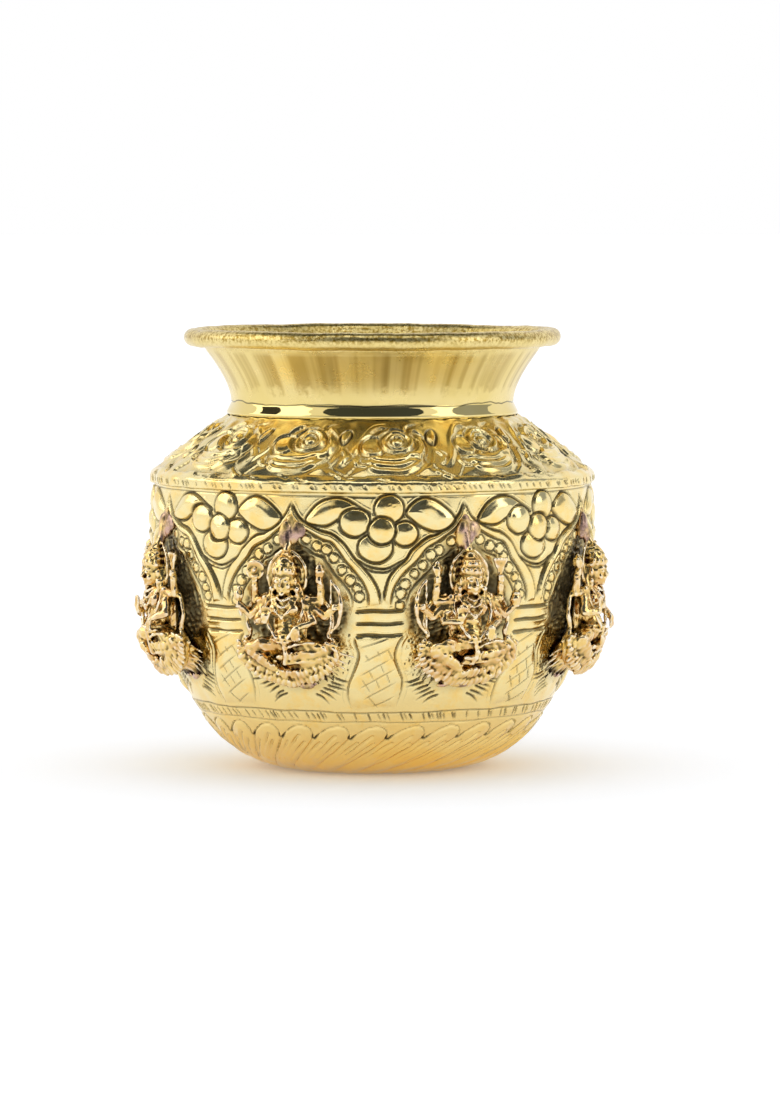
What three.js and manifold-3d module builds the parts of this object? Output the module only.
// A kalash: a small brass ritual water pot with eight cast figures round its wall.
// Millimetres, +Z up. The origin is the centre of the flat base, and the front of the pot faces -Y.

import * as THREE from 'three';
import { mergeVertices } from 'three/addons/utils/BufferGeometryUtils.js';
import Module from 'manifold-3d';

// Sizes of the bowl and its wall.
const baseRadius = 24;
const baseReach = 11.5;
const bellyBulge = 5;
const bellyDrop = 67.5;
const wallRadius = 62;
const wallTop = 82.6;
const sheetThickness = 1.3;

// Sizes of the gadroon petals round the lower bowl.
const petalCount = 28;
const petalDepth = 1.7;
const petalBottom = 0.8;
const petalTop = 16;
const petalLean = 0.5;

// Sizes of the flower and the two leaves beaten up from behind between the figures. Drops are measured
// from the top of the wall.
const bossRise = 1.2;
const flowerDrop = 11.6;
const flowerHeart = 7;
const flowerReach = 7.2;
const flowerPetal = 6.8;
const flowerTurn = 80;
const flowerSquash = 0.84;
const leafDrop = 5.6;
const leafAcross = 13;
const leafLength = 13;
const leafSpan = 6;

// Sizes of the shoulder, whose lip laps over the top of the wall.
const lipThickness = 1;
const lipDrop = 3;
const edgeRise = 1.6;
const shoulderRise = 16.2;

// Sizes of the roses beaten up round the shoulder. The turn is a share of the space of one rose.
const roseCount = 12;
const roseTurn = 0.14;
const roseRise = 1.3;
const roseHeart = 8;
const roseHeartRise = 0.9;

// Sizes of the neck and the rolled rim.
const neckSeamRadius = 41.6;
const neckHeight = 24.6;
const neckWaistRadius = 40.2;
const neckWaistRise = 3.8;
const neckFlareRadius = 47.2;
const neckFlareDrop = 3.9;
const neckThickness = 0.9;
const spigotDepth = 3.2;
const rimRadius = 53.7;
const rimWireRadius = 1.15;

// Clearance between pieces, and the size of the seams of braze.
const fitGap = 0.3;
const seamBraze = 1.7;

// Sizes of the cast figures. Out means outwards from the radius of the top of the wall, and a rise is
// measured from the part below: seat, waist, shoulders and head.
const figureCount = 8;
const seatFoot = 27;
const seatHeight = 8;
const seatWidth = 25;
const seatFrontOut = 6.4;
const seatBite = 0.8;
const seatLean = 1.5;
const kneeSpan = 23;
const kneeRise = 3.4;
const kneeOut = 2.6;
const footOut = 6;
const legRadius = 2.6;
const waistRise = 10.2;
const waistWidth = 6.8;
const shouldersRise = 7.4;
const shouldersSpan = 12.6;
const torsoOut = 3.4;
const headRise = 5.4;
const headWidth = 6.4;
const headTall = 8;
const headOut = 5;
const haloRadius = 5.4;
const haloThickness = 1.2;
const crownRise = 12.5;
const armRadius = 1.25;
const bowHeight = 14;
const heldSize = 4;

// Places of hands and elbows: across, out, and rise from the shoulders.
const raisedHand = [9.6, 3, 5.4];
const raisedElbow = [9.8, 2.6, -1];
const outerHand = [14.6, 3.2, -2.2];
const outerElbow = [10.8, 2.8, -5.2];
const blessingHand = [4.6, 8.2, -5];
const givingHand = [4.4, 8.2, -8.6];
const frontElbow = [8.3, 4.8, -6.4];

// Sizes of the braze that holds each figure.
const leafHeight = 9;
const leafWidth = 7;
const brazeThickness = 0.9;
const seatBrazeWidth = 11;
const seatBrazeHeight = 6;

// How finely round forms are stepped.
const petalSteps = 4;
const roseSteps = 4;
const bossSides = 6;
const limbSides = 4;
const bossRings = 4;
const ringSteps = 36;
const insideSteps = 30;

const brass = { color: 0xd9b85c, roughness: 0.25, metalness: 1 };
const spunBrass = { color: 0xd8bc6a, roughness: 0.3, metalness: 1 };
const castBrass = { color: 0x9a7342, roughness: 0.4, metalness: 1 };
const braze = { color: 0xc49a72, roughness: 0.4, metalness: 1 };

const wasm = await Module();
wasm.setup();

const model = new THREE.Group();

// Geometry helpers.

// Leaves only the positions, merges them and makes the faces point outwards.
function closed(geometry) {
  geometry.deleteAttribute('normal');
  geometry.deleteAttribute('uv');
  const merged = mergeVertices(geometry, 1e-4);
  const index = Array.from(merged.index.array);
  const kept = [];
  for (let i = 0; i < index.length; i += 3) {
    const [a, b, c] = index.slice(i, i + 3);
    if (a !== b && b !== c && c !== a) kept.push(a, b, c);
  }
  merged.setIndex(kept);
  if (signedVolume(merged) < 0) {
    for (let i = 0; i < kept.length; i += 3) {
      [kept[i], kept[i + 1]] = [kept[i + 1], kept[i]];
    }
    merged.setIndex(kept);
  }
  return merged;
}

function signedVolume(geometry) {
  const position = geometry.attributes.position;
  const index = geometry.index.array;
  const [a, b, c] = [new THREE.Vector3(), new THREE.Vector3(), new THREE.Vector3()];
  let volume = 0;
  for (let i = 0; i < index.length; i += 3) {
    a.fromBufferAttribute(position, index[i]);
    b.fromBufferAttribute(position, index[i + 1]);
    c.fromBufferAttribute(position, index[i + 2]);
    volume += a.dot(b.cross(c)) / 6;
  }
  return volume;
}

function toSolid(geometry) {
  const ready = closed(geometry);
  return new wasm.Manifold(new wasm.Mesh({
    numProp: 3,
    vertProperties: new Float32Array(ready.attributes.position.array),
    triVerts: new Uint32Array(ready.index.array),
  }));
}

function toGeometry(solid) {
  const mesh = solid.getMesh();
  const geometry = new THREE.BufferGeometry();
  geometry.setAttribute('position', new THREE.BufferAttribute(new Float32Array(mesh.vertProperties), 3));
  geometry.setIndex(new THREE.BufferAttribute(new Uint32Array(mesh.triVerts), 1));
  return geometry;
}

// Turns a profile of [radius, height] pairs about the upright axis.
function turned(profile, steps) {
  const points = profile.map(([radius, height]) => new THREE.Vector2(Math.max(radius, 0), height));
  return new THREE.LatheGeometry(points, steps).rotateX(Math.PI / 2);
}

// Closes a profile on itself and turns it, for a ring or a sheet with an open middle.
function turnedRing(profile, steps) {
  return turned([...profile, profile[0]], steps);
}

function add(name, geometry, finish, angle = 0) {
  const mesh = new THREE.Mesh(closed(geometry), new THREE.MeshStandardMaterial(finish));
  mesh.name = name;
  const holder = new THREE.Group();
  holder.rotation.z = angle;
  holder.add(mesh);
  model.add(holder);
}

// Bowl and wall.

// The outline of the wall is one cubic curve from the edge of the base to the top of the wall.
const wallCurve = new THREE.CubicBezierCurve(
  new THREE.Vector2(baseRadius, 0),
  new THREE.Vector2(baseRadius + baseReach, 0),
  new THREE.Vector2(wallRadius + bellyBulge, wallTop - bellyDrop),
  new THREE.Vector2(wallRadius, wallTop),
);

function wallPointAt(height) {
  let [low, high] = [0, 1];
  for (let i = 0; i < 40; i++) {
    const middle = (low + high) / 2;
    if (wallCurve.getPoint(middle).y < height) low = middle;
    else high = middle;
  }
  return wallCurve.getPoint((low + high) / 2);
}

// Points of the wall's outline, moved outwards by offset.
function wallOutline(steps, offset) {
  const points = [];
  for (let i = 0; i <= steps; i++) {
    const point = wallCurve.getPoint(i / steps);
    const tangent = wallCurve.getTangent(i / steps);
    points.push([point.x + tangent.y * offset, point.y - tangent.x * offset]);
  }
  return points;
}

// Rings of the bowl's outer face: closer together where the petals are.
function wallRings() {
  const petals = [0, 0.15, 0.45, 0.78, 1].map((share) => petalBottom + share * (petalTop - petalBottom));
  const plain = [0.13, 0.3, 0.52, 0.76].map((share) => petalTop + share * (wallTop - petalTop));
  const rings = [...petals, ...plain].map((height) => [wallPointAt(height).x, height]);
  return [[0, 0], [baseRadius, 0], ...rings, [wallRadius, wallTop], [0, wallTop]];
}

// How far a gadroon petal stands out: a rounded back between two valleys, fading out at both ends.
function petalRelief(across, along) {
  const back = Math.abs(Math.sin(Math.PI * across));
  return petalDepth * (Math.sqrt(back) - 0.6) * Math.sin(Math.PI * Math.sqrt(along));
}

// A low rounded boss: a flattened ball with its middle at a place across and up from the front.
function boss(across, up, width, tall, rise) {
  const form = new THREE.SphereGeometry(0.5, bossSides, bossRings);
  return form.scale(width, 2 * rise, tall).translate(across, 0, up);
}

// Bends a form that faces -Y round the pot, with its middle on the surface at the given radius.
function bent(form, radius, surface) {
  const position = form.attributes.position;
  for (let i = 0; i < position.count; i++) {
    const angle = position.getX(i) / radius;
    const [reach, height] = surface(position.getZ(i), -position.getY(i));
    position.setXYZ(i, reach * Math.sin(angle), -reach * Math.cos(angle), height);
  }
  return form;
}

// The flower and its two leaves between two figures.
function flower() {
  const middle = wallTop - flowerDrop;
  const forms = [boss(0, middle, flowerHeart, flowerHeart, bossRise)];
  for (const quarter of [0, 90, 180, 270]) {
    const angle = THREE.MathUtils.degToRad(flowerTurn + quarter);
    const up = middle + flowerReach * flowerSquash * Math.sin(angle);
    forms.push(boss(flowerReach * Math.cos(angle), up, flowerPetal, flowerPetal * flowerSquash, bossRise));
  }
  for (const side of [-1, 1]) {
    forms.push(boss(side * leafAcross, wallTop - leafDrop, leafLength, leafSpan, bossRise));
  }
  const onWall = (height, out) => [wallPointAt(height).x + out, height];
  return forms.map((form) => bent(form, wallRadius, onWall));
}

// The columns of the bowl's outer face lean with the petals, so every valley keeps to one column. Above
// the petals each two columns fall together, where closed() merges them.
function bowl() {
  const outside = turned(wallRings(), petalCount * petalSteps);
  const position = outside.attributes.position;
  for (let i = 0; i < position.count; i++) {
    const [x, y, z] = [position.getX(i), position.getY(i), position.getZ(i)];
    const along = THREE.MathUtils.clamp((z - petalBottom) / (petalTop - petalBottom), 0, 1);
    let column = Math.round((Math.atan2(y, x) * petalCount * petalSteps) / (2 * Math.PI));
    if (z > petalTop + fitGap) column -= column % 2;
    const across = column / petalSteps;
    const angle = ((across + petalLean * along) * 2 * Math.PI) / petalCount;
    const radius = Math.hypot(x, y);
    const grown = radius + (radius < baseRadius ? 0 : petalRelief(across, along));
    position.setXY(i, grown * Math.cos(angle), grown * Math.sin(angle));
  }
  const wall = wallOutline(6, -sheetThickness).filter(([, height]) => height > sheetThickness);
  const floorRadius = baseRadius - sheetThickness / 2;
  const top = wallTop + sheetThickness;
  const inside = [[0, sheetThickness], [floorRadius, sheetThickness], ...wall];
  inside.push([wallRadius - sheetThickness, top], [0, top]);
  let solid = toSolid(outside);
  for (let i = 0; i < figureCount; i++) {
    const angle = (i * 2 * Math.PI) / figureCount;
    for (const form of flower()) solid = solid.add(toSolid(form.rotateZ(angle)));
  }
  return toGeometry(solid.subtract(toSolid(turned(inside, insideSteps))));
}

// Shoulder.

const lipInside = wallRadius + fitGap;
const shoulderRadius = lipInside + lipThickness;
const shoulderEdgeHeight = wallTop + edgeRise;
const shoulderTop = shoulderEdgeHeight + shoulderRise;
const shoulderHole = neckSeamRadius - fitGap;

// Height of the shoulder's outer face, a cone before its roses are beaten up.
function shoulderHeight(radius) {
  return shoulderEdgeHeight + (shoulderRise * (shoulderRadius - radius)) / (shoulderRadius - shoulderHole);
}

// Height of its inner face, one sheet thickness below.
function shoulderUnderside(radius) {
  const run = shoulderRadius - shoulderHole;
  return shoulderHeight(radius) - (sheetThickness * Math.hypot(shoulderRise, run)) / run;
}

function shoulder() {
  const steps = 4;
  const outside = [];
  for (let i = 0; i <= steps; i++) {
    const radius = shoulderHole + ((shoulderRadius - shoulderHole) * i) / steps;
    outside.push([radius, shoulderHeight(radius)]);
  }
  const under = [lipInside, shoulderHole].map((radius) => [radius, shoulderUnderside(radius)]);
  const lipBottom = shoulderEdgeHeight - lipDrop;
  const edge = [
    [shoulderRadius, shoulderEdgeHeight - lipDrop / 2],
    [shoulderRadius - lipThickness * 0.3, lipBottom],
    [lipInside, lipBottom],
  ];
  const sheet = turnedRing([...outside, ...edge, ...under], roseCount * roseSteps);
  const position = sheet.attributes.position;
  for (let i = 0; i < position.count; i++) {
    const [x, y, z] = [position.getX(i), position.getY(i), position.getZ(i)];
    const radius = Math.hypot(x, y);
    const swell = roseRelief(Math.atan2(x, -y), radius);
    if (z > shoulderHeight(radius) - sheetThickness / 2) position.setZ(i, z + swell);
  }
  const middle = (shoulderRadius + shoulderHole) / 2;
  let solid = toSolid(sheet);
  const onShoulder = (up, out) => [middle - up, shoulderHeight(middle - up) + roseRise / 2 + out];
  for (let i = 0; i < roseCount; i++) {
    const heart = bent(boss(0, 0, roseHeart, roseHeart, roseHeartRise), middle, onShoulder);
    solid = solid.add(toSolid(heart.rotateZ(((i + roseTurn) * 2 * Math.PI) / roseCount)));
  }
  return toGeometry(solid);
}

// How far the shoulder swells at a rose or sinks between two, fading out at its edges.
function roseRelief(angle, radius) {
  const across = (angle * roseCount) / (2 * Math.PI) - roseTurn;
  const along = THREE.MathUtils.clamp((shoulderRadius - radius) / (shoulderRadius - shoulderHole), 0, 1);
  return (roseRise / 2) * Math.cos(2 * Math.PI * across) * Math.sin(Math.PI * along);
}

// Neck with its rolled rim.

// The sheet runs round the wire from rollFrom to rollTo, in degrees, and its outer face from rollMouth.
const rollMouth = 150;
const rollFrom = 172;
const rollTo = -148;
const rollSteps = 6;
// The flats of the roll's inside clear the wire by the fit gap.
const rollFlat = THREE.MathUtils.degToRad((rollFrom - rollTo) / rollSteps);
const rollInside = (rimWireRadius + fitGap) / Math.cos(rollFlat / 2);
const rollRadius = rollInside + neckThickness;
const rollCentre = [rimRadius - rollRadius, shoulderTop + neckHeight - rollRadius];
const neckWaistHeight = shoulderTop + neckWaistRise;
const flareHeight = rollCentre[1] - neckFlareDrop;

// The outer outline of the neck from the bottom of its spigot to where the roll begins.
function neckOutline() {
  const spigot = shoulderHole - fitGap;
  const flare = new THREE.CubicBezierCurve(
    new THREE.Vector2(neckWaistRadius, neckWaistHeight),
    new THREE.Vector2(neckWaistRadius, neckWaistHeight + (flareHeight - neckWaistHeight) * 0.3),
    new THREE.Vector2(neckFlareRadius - 3.4, flareHeight - 4.6),
    new THREE.Vector2(neckFlareRadius, flareHeight),
  );
  const collar = [
    [spigot, shoulderTop - spigotDepth],
    [spigot, shoulderTop + fitGap],
    [neckSeamRadius, shoulderTop + fitGap * 1.4],
  ];
  return [...collar, ...flare.getPoints(3).map((point) => [point.x, point.y])];
}

function arc([x, z], radius, from, to, steps) {
  const points = [];
  for (let i = 0; i <= steps; i++) {
    const angle = THREE.MathUtils.degToRad(from + ((to - from) * i) / steps);
    points.push([x + radius * Math.cos(angle), z + radius * Math.sin(angle)]);
  }
  return points;
}

function neck() {
  const outside = neckOutline();
  const inside = [];
  for (const [radius, height] of outside.slice(3)) {
    inside.unshift([radius - neckThickness, height + neckThickness * 0.35]);
  }
  const foot = outside[0][0] - neckThickness;
  inside.push([foot, outside[0][1]]);
  const rollOut = arc(rollCentre, rollRadius, rollMouth, rollTo, rollSteps);
  const rollIn = arc(rollCentre, rollInside, rollTo, rollFrom, rollSteps);
  return turnedRing([...outside, ...rollIn.reverse(), ...rollOut.reverse(), ...inside], ringSteps);
}

function rimWire() {
  return turnedRing(arc(rollCentre, rimWireRadius, 0, 300, 5), ringSteps);
}

// Seams of braze inside the pot, each a fillet with a three-cornered section.

function neckSeam() {
  const near = shoulderHole;
  const far = shoulderHole + seamBraze;
  const top = shoulderUnderside(near) - fitGap;
  const fillet = [[near, top], [near, top - seamBraze], [far, shoulderUnderside(far) - fitGap]];
  return turnedRing(fillet, ringSteps);
}

function shoulderSeam() {
  const flat = Math.cos(Math.PI / insideSteps);
  const far = (wallRadius - sheetThickness) * flat - fitGap;
  const near = far - seamBraze;
  const top = shoulderUnderside(far) - fitGap;
  return turnedRing([[far, wallTop - seamBraze], [far, top], [near, top]], ringSteps);
}

// Cast figures. Each is made at the front of the pot, facing -Y, and turned to its place with its holder.

const seatTop = seatFoot + seatHeight;
const waistHeight = seatTop + waistRise;
const shouldersHeight = waistHeight + shouldersRise;
const headHeight = shouldersHeight + headRise;
const crownTip = headHeight + crownRise;

function place(across, out, height) {
  return new THREE.Vector3(across, -(wallRadius + out), height);
}

function moved(geometry, point) {
  return geometry.translate(point.x, point.y, point.z);
}

// Where the wall draws in below the knees, a figure draws in with it, by the lean times as much.
function leaning(geometry) {
  const top = seatTop + 2 * kneeRise;
  const position = geometry.attributes.position;
  for (let i = 0; i < position.count; i++) {
    const height = position.getZ(i);
    const drawnIn = height < top ? wallPointAt(top).x - wallPointAt(height).x : 0;
    position.setY(i, position.getY(i) + seatLean * drawnIn);
  }
  return geometry;
}

// A bent rod through the given points, with its own radius at each of them and blunt pointed ends.
function rod(points, radii, sides) {
  const last = points.length - 1;
  const directions = points.map((point, i) => {
    const next = points[Math.min(i + 1, last)];
    return next.clone().sub(points[Math.max(i - 1, 0)]).normalize();
  });
  const turn = new THREE.Quaternion().setFromUnitVectors(new THREE.Vector3(0, 0, 1), directions[0]);
  const positions = [];
  for (let i = 0; i <= last; i++) {
    if (i > 0) {
      turn.premultiply(new THREE.Quaternion().setFromUnitVectors(directions[i - 1], directions[i]));
    }
    for (let k = 0; k < sides; k++) {
      const angle = (2 * Math.PI * k) / sides;
      const corner = new THREE.Vector3(Math.cos(angle), Math.sin(angle), 0);
      positions.push(corner.multiplyScalar(radii[i]).applyQuaternion(turn).add(points[i]));
    }
  }
  positions.push(points[0].clone().addScaledVector(directions[0], -radii[0] * 0.7));
  positions.push(points[last].clone().addScaledVector(directions[last], radii[last] * 0.7));
  const index = [];
  const [start, finish] = [positions.length - 2, positions.length - 1];
  for (let k = 0; k < sides; k++) {
    const next = (k + 1) % sides;
    index.push(start, next, k, finish, last * sides + k, last * sides + next);
    for (let i = 0; i < last; i++) {
      const [a, b] = [i * sides + k, i * sides + next];
      index.push(a, b, b + sides, a, b + sides, a + sides);
    }
  }
  const geometry = new THREE.BufferGeometry().setFromPoints(positions);
  return geometry.setIndex(index);
}

function ball(centre, width, depth, height, sides = 6, rings = 4) {
  const sphere = new THREE.SphereGeometry(0.5, sides, rings).rotateX(Math.PI / 2);
  return moved(sphere.scale(width, depth, height), centre);
}

// A flat disc that faces outwards.
function disc(centre, radius, thickness, sides) {
  return moved(new THREE.CylinderGeometry(radius, radius, thickness, sides), centre);
}

// Lotus seat: a cup of petals over a narrower ring of petals that point down. It reaches back to the wall.
function lotusSeat() {
  const steps = 10;
  const half = seatWidth / 2;
  const widest = 0.76;
  const rings = [[0, 0], [0.56, 0], [0.84, 0.24], [0.66, 0.42], [1, widest], [0.9, 1], [0, 1]];
  const petals = turned(rings.map(([r, h]) => [r * half, seatFoot + h * seatHeight]), steps);
  const position = petals.attributes.position;
  for (let i = 0; i < position.count; i++) {
    const [x, y] = [position.getX(i), position.getY(i)];
    if (Math.hypot(x, y) < half * 0.5) continue;
    const petal = 1 + 0.06 * Math.cos((steps / 2) * Math.atan2(x, y));
    position.setXY(i, x * petal, y * petal);
  }
  const back = wallPointAt(seatFoot + widest * seatHeight).x - wallRadius - seatBite;
  const middle = (seatFrontOut + back) / 2;
  return moved(petals.scale(1, (seatFrontOut - back) / seatWidth, 1), place(0, middle, 0));
}

function torso() {
  const waist = waistWidth / 2;
  const shoulder = shouldersSpan / 2;
  const neckTop = headHeight - headTall * 0.3;
  const profile = [
    [0, seatTop - waistRise * 0.2],
    [waist * 1.5, seatTop + waistRise * 0.2],
    [waist, waistHeight],
    [shoulder * 0.86, waistHeight + shouldersRise * 0.64],
    [shoulder * 0.9, shouldersHeight],
    [headWidth * 0.26, shouldersHeight + headRise * 0.3],
    [headWidth * 0.24, neckTop],
    [0, neckTop],
  ];
  return moved(turned(profile, 7).scale(1, 0.74, 1), place(0, torsoOut, 0));
}

// The crown leans back so that its tip meets the braze on the wall.
function crown() {
  const half = headWidth / 2;
  const tipOut = wallPointAt(crownTip).x - wallRadius + brazeThickness + 2 * fitGap + half * 0.36;
  const foot = place(0, headOut - 0.3, headHeight + headTall * 0.36);
  const tip = place(0, tipOut, crownTip);
  const length = foot.distanceTo(tip);
  const rings = [[0, -0.08], [1, 0], [1.04, 0.22], [0.76, 0.42], [0.28, 0.6], [0.4, 0.82], [0, 1]];
  const turn = new THREE.Quaternion();
  turn.setFromUnitVectors(new THREE.Vector3(0, 0, 1), tip.clone().sub(foot).normalize());
  return moved(turned(rings.map(([r, h]) => [r * half, h * length]), 6).applyQuaternion(turn), foot);
}

// One leg is folded flat and the other hangs to the front of the seat.
function legs() {
  const knee = kneeSpan / 2;
  const kneeHeight = seatTop + kneeRise;
  const radii = [legRadius * 1.15, legRadius, legRadius * 0.8, legRadius * 0.5];
  const folded = [
    place(knee * 0.25, torsoOut, kneeHeight),
    place(knee, kneeOut, kneeHeight - legRadius * 0.2),
    place(knee * 0.7, footOut * 0.9, kneeHeight - legRadius * 0.85),
    place(knee * 0.05, footOut, kneeHeight - legRadius * 0.9),
  ];
  const hanging = [
    place(-knee * 0.25, torsoOut, kneeHeight),
    place(-knee, kneeOut, kneeHeight + legRadius * 0.1),
    place(-knee * 0.68, footOut * 0.87, kneeHeight - legRadius * 0.6),
    place(-knee * 0.2, footOut, seatTop - legRadius * 0.8),
  ];
  return [rod(folded, radii, limbSides), rod(hanging, radii, limbSides)];
}

// The point beside or in front of the body that is given as across, out and rise from the shoulders.
function reach(side, [across, out, rise]) {
  return place(side * across, out, shouldersHeight + rise);
}

function arm(side, hand, elbow) {
  const joint = place(side * shouldersSpan * 0.42, torsoOut, shouldersHeight - armRadius * 0.3);
  const points = [joint, reach(side, elbow), reach(side, hand)];
  return rod(points, [armRadius * 1.1, armRadius, armRadius * 0.9], limbSides);
}

// Two arms in front, and behind them one raised pair or, with outer hands, two pairs.
function arms(outerPair) {
  const pairs = [[raisedHand, raisedElbow]];
  if (outerPair) pairs.push([outerHand, outerElbow]);
  return [
    arm(-1, blessingHand, frontElbow),
    arm(1, givingHand, frontElbow),
    ...pairs.flatMap(([hand, elbow]) => [arm(-1, hand, elbow), arm(1, hand, elbow)]),
  ];
}

// What the hands hold. Each takes the point of the hand and the side that it is on.
const held = {
  lotus: (hand) => [small(hand, [[0, -0.25], [0.18, 0], [0.45, 0.45], [0, 1]])],
  disc: (hand) => [disc(above(hand, heldSize / 2), heldSize * 0.55, heldSize / 4, 7)],
  conch: (hand) => [small(hand, [[0, -0.25], [0.3, 0.1], [0.38, 0.4], [0.13, 0.8], [0, 0.95]])],
  pot: (hand) => [small(hand, [[0, -0.35], [0.48, 0.05], [0.2, 0.38], [0.33, 0.55], [0, 0.6]])],
  sheaf: (hand) => [small(hand, [[0, -1.25], [0.2, -0.5], [0.15, 0], [0.5, 1.1], [0, 1.35]])],
  sword: (hand) => [rod([hand, above(hand, heldSize * 1.85)], [heldSize * 0.22, heldSize * 0.13], 4)],
  shield: (hand) => [ball(hand, heldSize * 1.3, heldSize * 0.45, heldSize * 1.3)],
  bow: (hand, side) => bow(hand, side),
};

function above(point, rise) {
  return point.clone().add(new THREE.Vector3(0, 0, rise));
}

// A small turned thing, its profile given in shares of the held size.
function small(hand, profile) {
  return moved(turned(profile.map(([r, h]) => [r * heldSize, h * heldSize]), 6), hand);
}

// The bow stands upright in the hand with its string towards the figure.
function bow(hand, side) {
  const string = hand.clone().add(new THREE.Vector3(-side * armRadius, 0, 0));
  const top = above(string, bowHeight / 2);
  const bottom = above(string, -bowHeight / 2);
  const grip = hand.clone().add(new THREE.Vector3(side * armRadius * 2, 0, 0));
  const path = new THREE.QuadraticBezierCurve3(top, grip, bottom);
  const half = armRadius / 2;
  const corners = [[-half, -half], [half, -half], [half, half], [-half, half]];
  const section = new THREE.Shape(corners.map(([x, y]) => new THREE.Vector2(x, y)));
  return [
    new THREE.ExtrudeGeometry(section, { steps: 4, bevelEnabled: false, extrudePath: path }),
    rod([top, bottom], [armRadius / 3, armRadius / 3], 4),
  ];
}

// What each figure holds in its raised hands and, where it has six arms, in its outer hands.
const attributes = [
  { raised: ['disc', 'conch'], outer: ['lotus', 'bow'] },
  { raised: ['lotus', 'sheaf'], outer: ['bow', 'pot'] },
  { raised: ['lotus', 'pot'] },
  { raised: ['sheaf', 'lotus'] },
  { raised: ['sword', 'shield'] },
  { raised: ['conch', 'disc'] },
  { raised: ['lotus', 'lotus'] },
  { raised: ['pot', 'sheaf'] },
];

// The wall with its clearance, turned so that a flat of the wall lies behind the middle of a figure.
const wallSteps = (petalCount * petalSteps) / 2;
const cutterOutline = [[0, 0], ...wallOutline(8, fitGap), [0, wallTop]];
const cutter = toSolid(turned(cutterOutline, wallSteps).rotateZ(Math.PI / wallSteps));

function heldIn([left, right], hand) {
  return [...held[left](reach(-1, hand), -1), ...held[right](reach(1, hand), 1)];
}

function figure({ raised, outer }) {
  const pieces = [
    lotusSeat(),
    ball(place(0, headOut, headHeight), headWidth, headWidth, headTall),
    disc(place(0, headOut - headWidth * 0.3, headHeight + headTall * 0.1), haloRadius, haloThickness, 8),
    crown(),
    ...legs(),
    ...arms(outer),
    ...heldIn(raised, raisedHand),
  ];
  if (outer) pieces.push(...heldIn(outer, outerHand));
  let solid = toSolid(leaning(torso()));
  for (const piece of pieces) solid = solid.add(toSolid(leaning(piece)));
  return toGeometry(solid.subtract(cutter).subtract(toSolid(seatPool(fitGap))));
}

// Braze that holds a figure: a leaf over the tip of the crown, and a pool under the seat.

function crownBraze() {
  const half = leafWidth / 2;
  const leaf = new THREE.Shape();
  leaf.moveTo(0, 0);
  leaf.bezierCurveTo(half * 0.5, leafHeight * 0.1, half * 1.2, leafHeight * 0.3, half, leafHeight * 0.5);
  leaf.bezierCurveTo(half * 0.7, leafHeight * 0.75, half * 0.2, leafHeight * 0.8, 0, leafHeight);
  leaf.bezierCurveTo(-half * 0.2, leafHeight * 0.8, -half * 0.7, leafHeight * 0.75, -half, leafHeight * 0.5);
  leaf.bezierCurveTo(-half * 1.2, leafHeight * 0.3, -half * 0.5, leafHeight * 0.1, 0, 0);
  const deep = fitGap + brazeThickness + sheetThickness;
  const plate = new THREE.ExtrudeGeometry(leaf, { depth: deep, curveSegments: 2, bevelEnabled: false });
  plate.rotateX(Math.PI / 2);
  const foot = crownTip - leafHeight * 0.28;
  plate.translate(0, -(wallPointAt(crownTip).x - sheetThickness), foot);
  return toGeometry(toSolid(plate).subtract(cutter));
}

// The pool on the wall under the seat, grown all round by the clearance.
function seatPool(clearance) {
  const height = seatFoot + 0.4;
  const centre = new THREE.Vector3(0, -wallPointAt(height).x, height);
  const grown = 2 * clearance;
  const depth = 2 * (fitGap + brazeThickness) + grown;
  return ball(centre, seatBrazeWidth + grown, depth, seatBrazeHeight + grown, 6, 4);
}

function seatBraze() {
  return toGeometry(toSolid(seatPool(0)).subtract(cutter));
}

add('body_bowl', bowl(), brass);
add('shoulder_dome', shoulder(), brass);
add('neck_funnel', neck(), spunBrass);
add('rim_wire', rimWire(), brass);
add('neck_seam_braze', neckSeam(), braze);
add('shoulder_seam_braze', shoulderSeam(), braze);

attributes.slice(0, figureCount).forEach((holding, i) => {
  const angle = ((i - 0.5) * 2 * Math.PI) / figureCount;
  add(`figure_${i + 1}`, figure(holding), castBrass, angle);
  add(`crown_braze_${i + 1}`, crownBraze(), braze, angle);
  add(`seat_braze_${i + 1}`, seatBraze(), braze, angle);
});

export default model;
